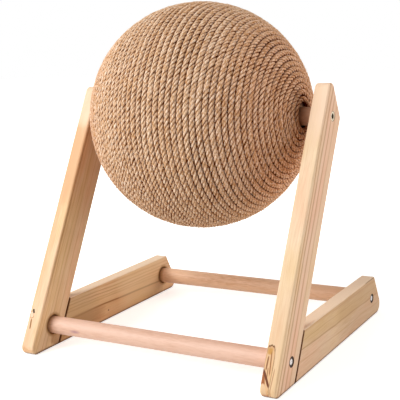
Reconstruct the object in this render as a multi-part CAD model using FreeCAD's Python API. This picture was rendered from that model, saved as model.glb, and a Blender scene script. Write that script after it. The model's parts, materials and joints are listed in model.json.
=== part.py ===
import FreeCAD, Part
import math
import os

V = FreeCAD.Vector

# A rope-wound ball for a cat to scratch, turning on a dowel axle between two leaning side frames.
# Millimetres and degrees. X runs along the axle, +Y is the back, Z = 0 is the floor.
# The origin lies on the floor, in the middle of the width and of the length.

# Side frames
inner_gap = 255.0            # between the inner faces of the two side frames
bar_thickness = 15.5         # of every flat bar, along X
upright_depth = 39.0         # square to the upright's length
upright_length = 308.0       # front edge, from the sharp toe to the sharp tip
lean_deg = 28.5              # how far the uprights lean back, and the mitre of the base bars
top_cut_deg = 36.0           # slant of the upright's top, off square
base_height = 43.5
frame_length = 285.0         # along the floor, sharp toe to sharp heel
toe_radius = 7.0
tip_radius = 7.0
nape_radius = 6.0            # where the slanted top meets the upright's rear face
heel_radius = 10.0
edge_round = 1.8             # all long edges of the bars

# Dowels: two crossbars and the axle
dowel_diameter = 18.0
dowel_chamfer = 0.8
socket_depth = 4.0           # blind holes in the inner faces that take the dowels' ends
socket_clearance = 1.3       # round a dowel in its socket, where it shows as a dark ring
front_bar_setback = 39.3     # behind the sharp toe
front_bar_height = 23.5
rear_bar_inset = 33.5        # ahead of the sharp heel
rear_bar_height = 21.5
axle_drop = 35.0             # below the sharp tip, along the upright

# Screws, each through a bar into the end grain of a dowel
screw_diameter = 4.0
screw_length = 45.0
screw_point = 5.0
screw_clearance = 0.3        # round the shank in the bar
screw_seat = 0.05            # round the head's cone and in the pilot hole
bar_screw_head = 7.0         # across the heads of the crossbars' screws
bar_screw_sink = 0.5         # how deep those heads lie
bar_screw_rim = 1.5          # ring left open round them
bar_cross_length = 4.2       # cross recess in those heads
axle_screw_head = 9.0
axle_screw_sink = 0.2
axle_screw_rim = 0.2
axle_cross_length = 5.6
cross_width = 1.0
cross_depth = 1.4

# Glued pins in the butt joints, and the dark line that is left open round each joint
joint_gap = 0.8
joint_rim = 3.0              # how deep that line is
pin_diameter = 6.0
pin_in_upright = 10.0
pin_in_base = 14.0
pin_chamfer = 0.6
pin_end_gap = 0.5
pin_fit = 0.05
lower_pin_height = 15.0      # above the floor, where the pins cross the joint
upper_pin_height = 32.0

# Ball
ball_diameter = 230.0        # over the rope
rope_diameter = 5.3
rope_turn_gap = 0.45         # between neighbouring turns, at least
rope_seat_gap = 0.3          # rope to shell
pole_opening = 30.0          # left bare round the axle at each pole
end_draw = 1.0               # how far the first and last turns draw in towards their poles
tuck_bend = 6.5              # bend radius where a rope end turns into the shell
tuck_clearance = 0.4
splice_ease = 3.0            # rope diameters from a splice to where the rope is back on its turn
shell_wall = 2.5
lap_length = 4.0             # tongue of the left shell inside the right one
lap_gap = 0.1
hub_length = 22.0
hub_wall = 2.0
tube_wall = 2.0
tube_seat = 0.1              # tube in the hubs
running_clearance = 0.08     # tube on the axle

# What follows from them
lean = math.radians(lean_deg)
top_cut = math.radians(top_cut_deg)
inner_face = inner_gap / 2
outer_face = inner_face + bar_thickness
dowel_radius = dowel_diameter / 2
corner_reach = 1 / math.tan((math.pi / 2 - lean) / 2) - 1    # how far a mitred corner's round falls short
floor_front = toe_radius * corner_reach
floor_back = frame_length - heel_radius * corner_reach
toe_y = -(floor_front + floor_back) / 2                      # sharp toe, seen from the origin
rope_radius = rope_diameter / 2
wind_radius = ball_diameter / 2 - rope_radius                # ball centre to rope centre
shell_radius = wind_radius - rope_radius - rope_seat_gap
tube_bore = dowel_radius + running_clearance
tube_radius = tube_bore + tube_wall
hub_bore = tube_radius + tube_seat
rope_names = ("rope_left", "rope_middle", "rope_right")


def on_upright(depth, along):
    # point of the side view, measured square to and along the upright's front face
    y = toe_y + along * math.sin(lean) + depth * math.cos(lean)
    z = along * math.cos(lean) - depth * math.sin(lean)
    return (y, z)


axle_y, axle_z = on_upright(upright_depth / 2, upright_length - axle_drop)
front_y, front_z = toe_y + front_bar_setback, front_bar_height
rear_y, rear_z = toe_y + frame_length - rear_bar_inset, rear_bar_height
ball_centre = V(0, axle_y, axle_z)


def rounded_outline(corners, x):
    # closed wire in the plane at x, through (y, z, radius) corners, with tangent arcs at the round ones
    points = [V(x, y, z) for y, z, radius in corners]
    starts, ends, arcs = [], [], []
    for i, (y, z, radius) in enumerate(corners):
        corner = points[i]
        back = (points[i - 1] - corner).normalize()
        ahead = (points[(i + 1) % len(points)] - corner).normalize()
        half = back.getAngle(ahead) / 2
        starts.append(corner + back * (radius / math.tan(half)))
        ends.append(corner + ahead * (radius / math.tan(half)))
        middle = corner + (back + ahead).normalize() * (radius / math.sin(half) - radius)
        arcs.append(Part.Arc(starts[i], middle, ends[i]).toShape() if radius > 0 else None)
    edges = []
    for i, arc in enumerate(arcs):
        if arc:
            edges.append(arc)
        edges.append(Part.LineSegment(ends[i], starts[(i + 1) % len(points)]).toShape())
    return Part.Wire(edges)


def bar(corners, keep_sharp=lambda edge: False):
    # flat bar of the right side frame, its long edges rounded over
    solid = Part.Face(rounded_outline(corners, inner_face)).extrude(V(bar_thickness, 0, 0))
    sides = [face for face in solid.Faces if abs(face.normalAt(0, 0).x) > 0.99]
    edges = [edge for side in sides for edge in side.Edges if not keep_sharp(edge)]
    return solid.makeFillet(edge_round, edges)


def rod(radius, start, way, length):
    return Part.makeCylinder(radius, length, start, way)


def chamfered_rod(radius, start, way, length, chamfer):
    solid = rod(radius, start, way, length)
    rims = [edge for edge in solid.Edges if isinstance(edge.Curve, Part.Circle)]
    return solid.makeChamfer(chamfer, rims)


def mirrored(solid):
    return solid.mirror(V(0, 0, 0), V(1, 0, 0))


# Screws lie along X, with their heads towards the right outer face
def screw(y, z, head_diameter, sink, cross_length):
    top = outer_face - sink
    head_radius, shank_radius = head_diameter / 2, screw_diameter / 2
    head_height = head_radius - shank_radius
    tip = top - screw_length
    profile = Part.makePolygon([
        V(top, 0, 0), V(top, head_radius, 0), V(top - head_height, shank_radius, 0),
        V(tip + screw_point, shank_radius, 0), V(tip, 0, 0), V(top, 0, 0)])
    solid = Part.Face(profile).revolve(V(0, 0, 0), V(1, 0, 0), 360)
    for size_y, size_z in ((cross_length, cross_width), (cross_width, cross_length)):
        corner = V(top - cross_depth, -size_y / 2, -size_z / 2)
        solid = solid.cut(Part.makeBox(cross_depth, size_y, size_z, corner))
    return solid.translated(V(0, y, z))


def screw_hole(y, z, head_diameter, sink, rim):
    top = outer_face - sink
    head_radius = head_diameter / 2 + screw_seat
    hole_radius = screw_diameter / 2 + screw_clearance
    head_height = head_radius - hole_radius
    way = V(-1, 0, 0)
    mouth = rod(head_diameter / 2 + rim, V(outer_face, y, z), way, sink)
    seat = Part.makeCone(head_radius, hole_radius, head_height, V(top, y, z), way)
    shank = rod(hole_radius, V(outer_face, y, z), way, bar_thickness)
    return mouth.fuse([seat, shank])


def dowel(y, z, sink):
    end = inner_face + socket_depth
    solid = chamfered_rod(dowel_radius, V(-end, y, z), V(1, 0, 0), 2 * end, dowel_chamfer)
    pilot_end = outer_face - sink - screw_length - screw_seat
    pilot = rod(screw_diameter / 2 + screw_seat, V(pilot_end, y, z), V(1, 0, 0), end - pilot_end)
    return solid.cut([pilot, mirrored(pilot)])


def socket(y, z):
    return rod(dowel_radius + socket_clearance, V(inner_face, y, z), V(1, 0, 0), socket_depth)


# Pins cross the joint square to the upright's rear face
def pin_joint(height):
    along = (height + upright_depth * math.sin(lean)) / math.cos(lean)
    y, z = on_upright(upright_depth, along)
    return V(inner_face + bar_thickness / 2, y, z), V(0, math.cos(lean), -math.sin(lean))


def pin(height):
    middle, way = pin_joint(height)
    length = pin_in_upright + pin_in_base
    return chamfered_rod(pin_diameter / 2, middle - way * pin_in_upright, way, length, pin_chamfer)


def pin_hole(height):
    middle, way = pin_joint(height)
    length = pin_in_upright + pin_in_base + 2 * pin_end_gap
    return rod(pin_diameter / 2 + pin_fit, middle - way * (pin_in_upright + pin_end_gap), way, length)


def joint_line():
    # thin slab on the upright's rear face, without the middle where the bars meet
    reach = frame_length
    sides = ((0, -reach), (joint_gap, -reach), (joint_gap, reach), (0, reach), (0, -reach))
    corners = [on_upright(upright_depth + step, along) for step, along in sides]
    outline = Part.makePolygon([V(inner_face, y, z) for y, z in corners])
    slab = Part.Face(outline).extrude(V(bar_thickness, 0, 0))
    middle = Part.makeBox(
        bar_thickness - 2 * joint_rim, reach, base_height - 2 * joint_rim,
        V(inner_face + joint_rim, toe_y, joint_rim))
    return slab.cut(middle)


def upright():
    heel_along = upright_depth * math.tan(lean)
    nape_along = upright_length - upright_depth * math.tan(top_cut)
    solid = bar([
        on_upright(0, 0) + (toe_radius,),
        on_upright(upright_depth, heel_along) + (0,),
        on_upright(upright_depth, nape_along) + (nape_radius,),
        on_upright(0, upright_length) + (tip_radius,)])
    return solid.cut([
        socket(axle_y, axle_z),
        screw_hole(axle_y, axle_z, axle_screw_head, axle_screw_sink, axle_screw_rim),
        socket(front_y, front_z),
        screw_hole(front_y, front_z, bar_screw_head, bar_screw_sink, bar_screw_rim),
        pin_hole(lower_pin_height), pin_hole(upper_pin_height)])


def base_bar():
    mitre_y = toe_y + upright_depth / math.cos(lean)
    slope = base_height * math.tan(lean)
    heel_y = toe_y + frame_length

    def in_joint(edge):
        y, z = edge.CenterOfMass.y, edge.CenterOfMass.z
        return abs(y - mitre_y - z * math.tan(lean)) < edge_round

    solid = bar([
        (mitre_y, 0, 0),
        (heel_y, 0, heel_radius),
        (heel_y - slope, base_height, edge_round),
        (mitre_y + slope, base_height, 0)], in_joint)
    return solid.cut([
        socket(rear_y, rear_z),
        screw_hole(rear_y, rear_z, bar_screw_head, bar_screw_sink, bar_screw_rim),
        pin_hole(lower_pin_height), pin_hole(upper_pin_height), joint_line()])


# Shells are turned about X, from the equator at 0 to the hub at the pole
def arc_about_centre(radius, start, end):
    # circle arc in the XY plane between two distances along X
    middle_angle = (math.acos(start / radius) + math.acos(end / radius)) / 2
    height = lambda x: math.sqrt(radius ** 2 - x ** 2)
    middle = V(radius * math.cos(middle_angle), radius * math.sin(middle_angle), 0)
    return Part.Arc(V(start, height(start), 0), middle, V(end, height(end), 0)).toShape()


def shell(lap_points, inner_start):
    inner_radius = shell_radius - shell_wall
    hub_radius = hub_bore + hub_wall
    pole = math.sqrt(shell_radius ** 2 - hub_bore ** 2)
    hub_root = math.sqrt(inner_radius ** 2 - hub_radius ** 2)
    skin = arc_about_centre(shell_radius, 0, pole)
    lining = arc_about_centre(inner_radius, inner_start, hub_root)
    hub = Part.makePolygon([
        V(pole, hub_bore, 0), V(pole - hub_length, hub_bore, 0),
        V(pole - hub_length, hub_radius, 0), V(hub_root, hub_radius, 0)])
    lap = Part.makePolygon([V(x, y, 0) for x, y in lap_points])
    outline = Part.Wire(Part.__sortEdges__([skin, lining] + hub.Edges + lap.Edges))
    return Part.Face(outline).revolve(V(0, 0, 0), V(1, 0, 0), 360).translated(ball_centre)


def tongue_shell():
    inner_radius, tongue_radius = shell_radius - shell_wall, shell_radius - shell_wall / 2 - lap_gap
    return mirrored(shell([
        (0, inner_radius), (-lap_length, inner_radius), (-lap_length, tongue_radius),
        (0, tongue_radius), (0, shell_radius)], 0))


def socket_shell():
    inner_radius, lap_radius = shell_radius - shell_wall, shell_radius - shell_wall / 2
    depth = lap_length + lap_gap
    root = math.sqrt(inner_radius ** 2 - depth ** 2)
    return shell([(depth, root), (depth, lap_radius), (0, lap_radius), (0, shell_radius)], depth)


def bore_tube():
    half = math.sqrt(shell_radius ** 2 - hub_bore ** 2)
    start = ball_centre - V(half, 0, 0)
    return rod(tube_radius, start, V(1, 0, 0), 2 * half).cut(rod(tube_bore, start, V(1, 0, 0), 2 * half))


# The rope winds about X at an even step, from the left pole to the right one.
# Turn number t is counted from the left end; every whole turn ends at the back.
draw_angle = end_draw / wind_radius
first_polar = math.asin((pole_opening / 2 + rope_radius) / wind_radius) + draw_angle
polar_span = math.pi - 2 * first_polar
turns_each = math.floor(polar_span * wind_radius / (rope_diameter + rope_turn_gap) / len(rope_names))
turns = turns_each * len(rope_names)
polar_step = polar_span / turns


def wound(t):
    # point of the rope's centre line, its direction and the way in to the centre
    in_first, in_last = max(0, 1 - t), max(0, t - turns + 1)
    polar = first_polar + polar_step * t + draw_angle * (in_last ** 2 - in_first ** 2)
    polar_rate = polar_step + 2 * draw_angle * (in_last + in_first)
    around = 2 * math.pi * t
    ring = V(0, math.cos(around), math.sin(around))
    tangent = V(0, -math.sin(around), math.cos(around))
    out = V(-math.cos(polar), 0, 0) + ring * math.sin(polar)
    rightward = V(math.sin(polar), 0, 0) + ring * math.cos(polar)
    way = (tangent * (2 * math.pi * math.sin(polar)) + rightward * polar_rate).normalize()
    return ball_centre + out * wind_radius, way, out * -1


def arc_middle(start, way, end):
    # middle of the arc that leaves start along way and reaches end
    chord = end - start
    side = (chord - way * chord.dot(way)).normalize()
    radius = chord.dot(chord) / (2 * chord.dot(side))
    centre = start + side * radius
    return centre + ((start - centre) + (end - centre)).normalize() * radius


def biarc(start, start_way, end, end_way):
    # two arcs between two points, tangent to each other and to the directions at both ends
    chord = end - start
    both = chord.dot(start_way + end_way)
    bend = 2 * (1 - start_way.dot(end_way))
    reach = (math.sqrt(both ** 2 + bend * chord.dot(chord)) - both) / bend
    joint = (start + start_way * reach + end - end_way * reach) * 0.5
    return [Part.Arc(start, arc_middle(start, start_way, joint), joint).toShape(),
            Part.Arc(joint, arc_middle(end, end_way * -1, joint), end).toShape()]


def splice_swing(t):
    # share of a turn that is one rope diameter long
    point = wound(t)[0]
    return rope_diameter / (2 * math.pi * math.hypot(point.y - axle_y, point.z - axle_z))


def splice(t):
    # straight stretch of two rope diameters where two lengths of rope meet end to end
    swing = splice_swing(t)
    before, after = wound(t - swing)[0], wound(t + swing)[0]
    return before, after, (after - before).normalize()


def tuck(t, leave):
    # rope end that bends in through the shell: leave is 1 at the end of the rope and -1 at its start
    point, way, inward = wound(t)
    out_way = way * leave
    pivot = point + inward * tuck_bend
    middle = pivot + (out_way - inward).normalize() * tuck_bend
    foot = pivot + out_way * tuck_bend
    return point, out_way, inward, middle, foot


def tuck_slot(t, leave):
    # slot through the shell for a tucked rope end
    point, out_way, inward, middle, foot = tuck(t, leave)
    half_width = rope_radius + tuck_clearance
    length = tuck_bend + half_width
    depth = rope_radius + rope_seat_gap + shell_wall + rope_radius
    across = out_way.cross(inward) * half_width
    far = point + out_way * length
    rim = Part.makePolygon([point - across, far - across, far + across, point + across, point - across])
    return Part.Face(rim).extrude(inward * depth)


def rope_path(number):
    # centre line of one length of rope, as edges in order
    first, last = number * turns_each, (number + 1) * turns_each
    stops = [wound(quarter / 4)[:2] for quarter in range(4 * first + 1, 4 * last)]
    if number == 0:
        point, out_way, inward, middle, foot = tuck(first, -1)
        way = out_way * -1
        edges = [Part.LineSegment(foot + inward * rope_diameter, foot).toShape(),
                 Part.Arc(foot, middle, point).toShape()]
    else:
        before, point, way = splice(first)
        edges = [Part.LineSegment((before + point) * 0.5, point).toShape()]
        stops.insert(0, wound(first + splice_ease * splice_swing(first))[:2])
    if last == turns:
        last_point, last_way, inward, middle, foot = tuck(last, 1)
        tail = [Part.Arc(last_point, middle, foot).toShape(),
                Part.LineSegment(foot, foot + inward * rope_diameter).toShape()]
    else:
        last_point, after, last_way = splice(last)
        tail = [Part.LineSegment(last_point, (last_point + after) * 0.5).toShape()]
        stops.append(wound(last - splice_ease * splice_swing(last))[:2])
    for end, end_way in stops + [(last_point, last_way)]:
        edges += biarc(point, way, end, end_way)
        point, way = end, end_way
    return edges + tail


def rope(path):
    spine = Part.Wire(path)
    first = path[0]
    section = Part.Wire(Part.makeCircle(rope_radius, first.valueAt(first.FirstParameter),
                                        first.tangentAt(first.FirstParameter)))
    return spine.makePipeShell([section], True, False)


def least_gap(path):
    # least gap between stretches of rope that lie over four diameters apart along it
    steps = 12                       # samples in each arc of an eighth of a turn
    look_ahead = 12 * steps          # reaches past the next turn
    samples, walked = [], 0.0
    for edge in path:
        points = edge.discretize(steps + 1)[:-1]
        samples += [(point, walked + i * edge.Length / steps) for i, point in enumerate(points)]
        walked += edge.Length
    least = ball_diameter
    for i, (point, place) in enumerate(samples):
        ahead = samples[i + 1:i + look_ahead]
        for (other, other_place), (after, after_place) in zip(ahead, ahead[1:]):
            if other_place - place > 4 * rope_diameter:
                least = min(least, point.distanceToLineSegment(other, after).Length)
    return least - rope_diameter


def main():
    os.makedirs("parts", exist_ok=True)
    parts = {
        "front_crossbar": dowel(front_y, front_z, bar_screw_sink),
        "rear_crossbar": dowel(rear_y, rear_z, bar_screw_sink),
        "axle": dowel(axle_y, axle_z, axle_screw_sink),
        "bore_tube": bore_tube(),
        "ball_left_shell": tongue_shell().cut(tuck_slot(0, -1)),
        "ball_right_shell": socket_shell().cut(tuck_slot(turns, 1)),
    }
    right_side = {
        "upright": upright(),
        "base_bar": base_bar(),
        "axle_screw": screw(axle_y, axle_z, axle_screw_head, axle_screw_sink, axle_cross_length),
        "front_screw": screw(front_y, front_z, bar_screw_head, bar_screw_sink, bar_cross_length),
        "rear_screw": screw(rear_y, rear_z, bar_screw_head, bar_screw_sink, bar_cross_length),
        "upper_pin": pin(upper_pin_height),
        "lower_pin": pin(lower_pin_height),
    }
    for name, solid in right_side.items():
        parts["right_" + name] = solid
        parts["left_" + name] = mirrored(solid)
    winding = []
    for number, name in enumerate(rope_names):
        path = rope_path(number)
        winding += path
        parts[name] = rope(path)
        drawn = parts[name].Volume / sum(edge.Length for edge in path) / (math.pi * rope_radius ** 2)
        print(name, turns_each, "turns, least gap to itself", round(least_gap(path), 3),
              "volume over section times length", round(drawn, 4))
    print("least gap in the whole winding", round(least_gap(winding), 3))
    for name, solid in parts.items():
        print(name, solid.ShapeType, len(solid.Solids), solid.isValid(), round(solid.Volume))
        solid.exportStep("parts/" + name + ".step")


main()
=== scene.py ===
import json
import math

import bpy
import numpy as np
from mathutils import Matrix, Vector


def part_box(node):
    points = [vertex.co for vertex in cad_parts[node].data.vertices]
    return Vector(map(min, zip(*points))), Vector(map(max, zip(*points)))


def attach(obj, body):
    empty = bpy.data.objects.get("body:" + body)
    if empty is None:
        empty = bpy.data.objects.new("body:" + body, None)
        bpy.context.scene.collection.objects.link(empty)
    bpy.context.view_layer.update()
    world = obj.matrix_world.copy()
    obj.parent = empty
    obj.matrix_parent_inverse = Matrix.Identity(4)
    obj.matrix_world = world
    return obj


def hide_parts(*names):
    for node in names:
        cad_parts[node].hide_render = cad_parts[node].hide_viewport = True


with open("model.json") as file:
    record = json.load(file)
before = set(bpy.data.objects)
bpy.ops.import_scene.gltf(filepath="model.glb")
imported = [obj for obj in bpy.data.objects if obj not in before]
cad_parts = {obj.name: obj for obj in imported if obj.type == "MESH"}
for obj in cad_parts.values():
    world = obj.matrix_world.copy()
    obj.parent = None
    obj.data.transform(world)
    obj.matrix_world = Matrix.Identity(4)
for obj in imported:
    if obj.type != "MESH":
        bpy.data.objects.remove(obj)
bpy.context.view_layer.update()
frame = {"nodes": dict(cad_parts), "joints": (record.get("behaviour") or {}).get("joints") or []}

scene = bpy.context.scene
scene.view_settings.view_transform = "Standard"
cadNodes = frame["nodes"]
tau = math.tau
mm = 0.001


def metres(sizes):
    return [size * mm for size in sizes]


# sRGB hex to linear, with the cover from a fourth pair of digits where there is one
def hexColour(code):
    channels = [int(code[i:i + 2], 16) / 255 for i in range(1, len(code), 2)]
    linear = [c / 12.92 if c <= 0.04045 else ((c + 0.055) / 1.055) ** 2.4 for c in channels[:3]]
    return linear + (channels[3:] or [1.0])


# a node or socket given as an input is linked, any other value is set on the new node's own socket
def addNode(tree, kind, inputs=None, stops=None, **settings):
    node = tree.nodes.new("ShaderNode" + kind)
    for name, value in settings.items():
        setattr(node, name, value)
    for socket, value in (inputs or {}).items():
        if isinstance(value, bpy.types.Node):
            value = value.outputs[0]
        if isinstance(value, bpy.types.NodeSocket):
            tree.links.new(value, node.inputs[socket])
        else:
            node.inputs[socket].default_value = value
    for count, (place, colour) in enumerate(stops or []):
        ramp = node.color_ramp.elements
        stop = ramp[count] if count < len(ramp) else ramp.new(place)
        stop.position = place
        stop.color = hexColour(colour)
    return node


def newMaterial(name):
    material = bpy.data.materials.new(name)
    material.use_nodes = True
    tree = material.node_tree
    return material, tree, tree.nodes["Principled BSDF"]


# what is the same all over a surface
def setFinish(shader, finish):
    shader.inputs["Roughness"].default_value = finish["roughness"]
    shader.inputs["IOR"].default_value = finish["ior"]
    shader.inputs["Specular IOR Level"].default_value = finish["gloss"]


# the material goes into every slot of the CAD nodes
def dress(nodeNames, material):
    for name in nodeNames:
        mesh = cadNodes[name].data
        if not mesh.materials:
            mesh.materials.append(material)
        for place in range(len(mesh.materials)):
            mesh.materials[place] = material


# metres from a line along x, whose y and z are given in mm
def distanceFromLine(tree, place, line):
    lineY, lineZ = line
    offset = addNode(tree, "VectorMath", {0: place.outputs["Object"], 1: (0, lineY * mm, lineZ * mm)},
                     operation="SUBTRACT")
    flat = addNode(tree, "VectorMath", {0: offset, 1: (0, 1, 1)}, operation="MULTIPLY")
    return addNode(tree, "VectorMath", {0: flat}, operation="LENGTH").outputs["Value"]


# lays paint over a colour: stops of distance, colour and cover, the last of which fades to none at the end
def paintOver(tree, colour, away, stops, end, reach, zero=0.0):
    faded = (end, stops[-1][1][:7] + "00")
    place = addNode(tree, "MapRange", {0: away, 1: zero, 2: zero + reach})
    paint = addNode(tree, "ValToRGB", {0: place},
                    [(distance / reach, code) for distance, code in stops + [faded]])
    return addNode(tree, "Mix", {0: paint.outputs[1], 6: colour, 7: paint}, data_type="RGBA").outputs[2]


# 1 for the camera's own rays and for those that metal or glass sends on, 0 for the rays that light things
def backgroundRays(tree):
    path = addNode(tree, "LightPath")
    mirrored = addNode(tree, "Math", {0: path.outputs["Is Camera Ray"], 1: path.outputs["Is Glossy Ray"]},
                       operation="MAXIMUM")
    return addNode(tree, "Math", {0: mirrored, 1: path.outputs["Is Transmission Ray"]}, operation="MAXIMUM")


# camera: a short telephoto at table height, off the right front corner
view = {
    "place": (451.22 * mm, -768.18 * mm, 307.35 * mm),
    "yaw": 30.655,          # degrees
    "pitch": -10.418,
    "roll": -2.678,
    "lens": 78.158,         # mm
    "sensor": 36.0,         # mm
    "nearest": 10 * mm,     # where the picture starts
}
yaw, pitch, roll = (math.radians(view[turn]) for turn in ("yaw", "pitch", "roll"))
ahead = Vector((-math.sin(yaw) * math.cos(pitch), math.cos(yaw) * math.cos(pitch), math.sin(pitch)))
level = Vector((math.cos(yaw), math.sin(yaw), 0))
above = level.cross(ahead)
right = math.cos(roll) * level + math.sin(roll) * above
upward = math.cos(roll) * above - math.sin(roll) * level
camera = bpy.data.objects.new("camera", bpy.data.cameras.new("camera"))
facing = Matrix((right, upward, -ahead)).transposed().to_4x4()
camera.matrix_world = Matrix.Translation(view["place"]) @ facing
camera.data.lens = view["lens"]
camera.data.sensor_width = view["sensor"]
camera.data.clip_start = view["nearest"]
scene.collection.objects.link(camera)
scene.camera = camera
print("camera set")


# studio: one large soft lamp at the front left, a weak one at the right and one above, pale floor
studio = {
    # metres and watts
    "lamps": {
        "key_lamp": {"place": (-1.3, -1.85, 1.45), "size": 1.3, "power": 57, "colour": "#FFFFFF"},
        # the room's own warm bounce
        "fill_lamp": {"place": (2.2, 1.1, 0.85), "size": 1.4, "power": 26, "colour": "#FFF8F2"},
        "top_lamp": {"place": (-0.1, -0.3, 2.2), "size": 1.6, "power": 6.5, "colour": "#FFFFFF"},
    },
    "aim": (0.0, 0.0, 0.18),
    "skyLevel": 0.31,
    "skyColour": "#FFF6EE",
    "backgroundColour": "#FFFFFF",
    "backgroundLevel": 1.0,
    "floorColour": "#F6F5F3",
    "floorRoughness": 0.9,
    "floorLift": 0.6,
    "farLift": 1.0,
    "liftRadius": (0.15, 0.75),     # m from the middle, where the lift starts to grow and where it is full
    "floorHalf": 6.0,               # m
}
for name, settings in studio["lamps"].items():
    lamp = bpy.data.lights.new(name, "AREA")
    lamp.size = settings["size"]
    lamp.energy = settings["power"]
    lamp.color = hexColour(settings["colour"])[:3]
    holder = bpy.data.objects.new(name, lamp)
    holder.location = settings["place"]
    towards = Vector(studio["aim"]) - Vector(settings["place"])
    holder.rotation_euler = towards.to_track_quat("-Z", "Y").to_euler()
    scene.collection.objects.link(holder)

world = bpy.data.worlds.new("studio_world")
scene.world = world
world.use_nodes = True
sky = world.node_tree
sky.nodes.clear()
seen = backgroundRays(sky)
lit = addNode(sky, "Background", {"Color": hexColour(studio["skyColour"]), "Strength": studio["skyLevel"]})
white = addNode(sky, "Background",
                {"Color": hexColour(studio["backgroundColour"]), "Strength": studio["backgroundLevel"]})
either = addNode(sky, "MixShader", {0: seen, 1: lit, 2: white})
addNode(sky, "OutputWorld", {0: either})

half = studio["floorHalf"]
floorMesh = bpy.data.meshes.new("floor")
floorCorners = [(-half, -half, 0), (half, -half, 0), (half, half, 0), (-half, half, 0)]
floorMesh.from_pydata(floorCorners, [], [(0, 1, 2, 3)])
floor = bpy.data.objects.new("floor", floorMesh)
scene.collection.objects.link(floor)
# matt paper sweep: its lift is for the background rays alone, so it stays white and still takes a shadow
floorMaterial, tree, shader = newMaterial("paper_sweep")
seen = backgroundRays(tree)
place = addNode(tree, "TexCoord")
away = addNode(tree, "VectorMath", {0: place.outputs["Object"]}, operation="LENGTH")
liftStart, liftFull = studio["liftRadius"]
spread = addNode(tree, "MapRange",
                 {0: away.outputs["Value"], 1: liftStart, 2: liftFull, 3: studio["floorLift"],
                  4: studio["farLift"]}, interpolation_type="SMOOTHSTEP")
lift = addNode(tree, "Math", {0: seen, 1: spread}, operation="MULTIPLY")
shader.inputs["Base Color"].default_value = hexColour(studio["floorColour"])
shader.inputs["Roughness"].default_value = studio["floorRoughness"]
shader.inputs["Specular IOR Level"].default_value = 0.0
shader.inputs["Emission Color"].default_value = hexColour(studio["backgroundColour"])
tree.links.new(lift.outputs[0], shader.inputs["Emission Strength"])
floorMesh.materials.append(floorMaterial)
print("studio lit")


# pine, planed and sanded and left bare: cream to tan, with thin dark lines where the growth rings end, broken
# fibre streaks and faint pink and yellow clouds; the rings lie almost flat in each board, so a board's lines
# are given by their depth in mm from its front or top face
pine = {
    "ringDepth": (-2.0, 46.0),      # mm, the range that a board's list of rings covers
    "waver": 2.2,                   # mm that the rings wander
    "waverWidth": 16.0,             # mm across the grain
    "waverLength": 70.0,            # mm along the board
    "cloudScale": 0.7,              # of the clouds, beside the rings' wander
    "cloudTones": [(0.35, "#FBF6E2"), (0.5, "#FFFFFF"), (0.65, "#FFF1EC")],
    "cloudShare": 0.8,
    "streakWidth": 1.1,             # mm, real fibre streaks are about 0.3 mm and would not show
    "streakLength": 26.0,           # mm
    "streakTones": [(0.3, "#E9D8C6"), (0.6, "#FFFFFF")],
    "streakShare": 0.6,
    "streakMean": 0.5,              # of the noise that draws them
    "flawReach": 2.0,               # as far as a flaw's cover is given, in its own measure
    "hole": "#B87A3C",              # drilled walls, browned by the bit
    "holeRing": (10.0, 10.5),       # mm from the dowel's axis, over the rim of its socket
    "socketShade": "#A5763F",       # painted shade round the dowels, where they enter their sockets
    "shadeRing": (10.2, 13.6),      # mm from the dowel's axis
    "socketDepth": (4.2, 5.0),      # mm from the inner face, where hole and stain end
    "mouth": "#2E160A",             # painted shade in the open ring round the screw heads
    "mouthEdge": 0.25,              # mm
    "mouthDepth": (9.0, 10.0),      # mm from the inner face, where the mouth starts
    "jointLine": "#683A00",
    "jointOnBar": (1.7, 2.4),       # mm behind the upright, over the rounded end of the base bar
    "jointOnUpright": (-0.8, -0.2),
    "jointTop": (41.5, 43.0),       # mm over the floor, where the joint ends
    "floorLine": "#5A3412",         # painted contact shade on the lowest edge, where the boards meet the floor
    "floorLineHeight": (1.4, 3.0),  # mm
    "floorLineCover": 0.9,
    "relief": 0.3,
    "reliefDepth": 0.2,             # mm
    "roughness": 0.55,
    "ior": 1.5,
    "gloss": 0.28,                  # the open pores of bare wood scatter most of it
}


# y and z in mm of the line that a dowel lies on
def dowelLine(name):
    lowest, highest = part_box(name)
    middle = (lowest + highest) / 2 / mm
    return middle.y, middle.z


frontDowel, rearDowel, axleLine = (dowelLine(name) for name in ("front_crossbar", "rear_crossbar", "axle"))
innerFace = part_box("right_base_bar")[0].x / mm
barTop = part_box("right_base_bar")[1].z / mm
uprightLean = 28.5                  # degrees
uprightDepth = 39.0                 # mm
toe = Vector((0, -141.479, 0))      # mm, the uprights' front corner before rounding
barStart = -118.0                   # mm, y from which the base bars are measured
leanAngle = math.radians(uprightLean)
depthWay = Vector((0, math.cos(leanAngle), -math.sin(leanAngle)))      # square to an upright, front to back
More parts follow.
